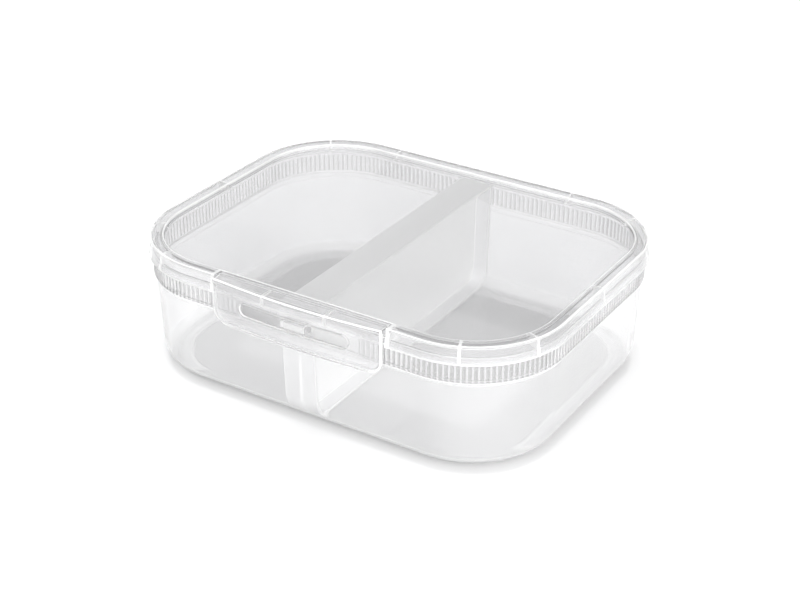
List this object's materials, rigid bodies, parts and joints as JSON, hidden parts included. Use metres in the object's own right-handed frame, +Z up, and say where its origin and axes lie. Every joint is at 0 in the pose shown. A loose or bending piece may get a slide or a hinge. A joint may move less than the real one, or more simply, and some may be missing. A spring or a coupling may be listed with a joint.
{
  "type": "lunch box",
  "caption": "Clear plastic lunch box with a lift-off lid, a hinged front clip that latches over a catch, and a lift-out divider between two compartments.",
  "frame": {"origin": "centre of the flat base, at the level it stands on", "axes": "+Z up through the lid, +X along the long side, -Y towards the front clip"},
  "size_m": [0.2044, 0.1612, 0.0614],
  "materials": {
    "container": "colourless clear polypropylene, glossy",
    "divider": "translucent milky polypropylene",
    "lid": "colourless clear polypropylene, glossy",
    "front_clip": "colourless clear polypropylene, glossy"
  },
  "bodies": {
    "container": {"container": "container"},
    "divider": {"divider": "divider"},
    "lid": {"lid": "lid"},
    "clip": {"front_clip": "front_clip"}
  },
  "joints": [
    {"name": "lid_lift", "type": "slide", "parent": "container", "child": "lid", "axis": [0, 0, 1], "range_m": [0, 0.15]},
    {"name": "divider_lift", "type": "slide", "parent": "container", "child": "divider", "axis": [0, 0, 1], "range_m": [0, 0.075]},
    {"name": "clip_hinge", "type": "hinge", "parent": "lid", "child": "clip", "pos_m": [0, -0.07365, 0.05995], "axis": [-1, 0, 0], "range_deg": [0, 95]}
  ],
  "couplings": [
    {"joint": "divider_lift", "follows": "lid_lift", "ratio": 0.5}
  ]
}
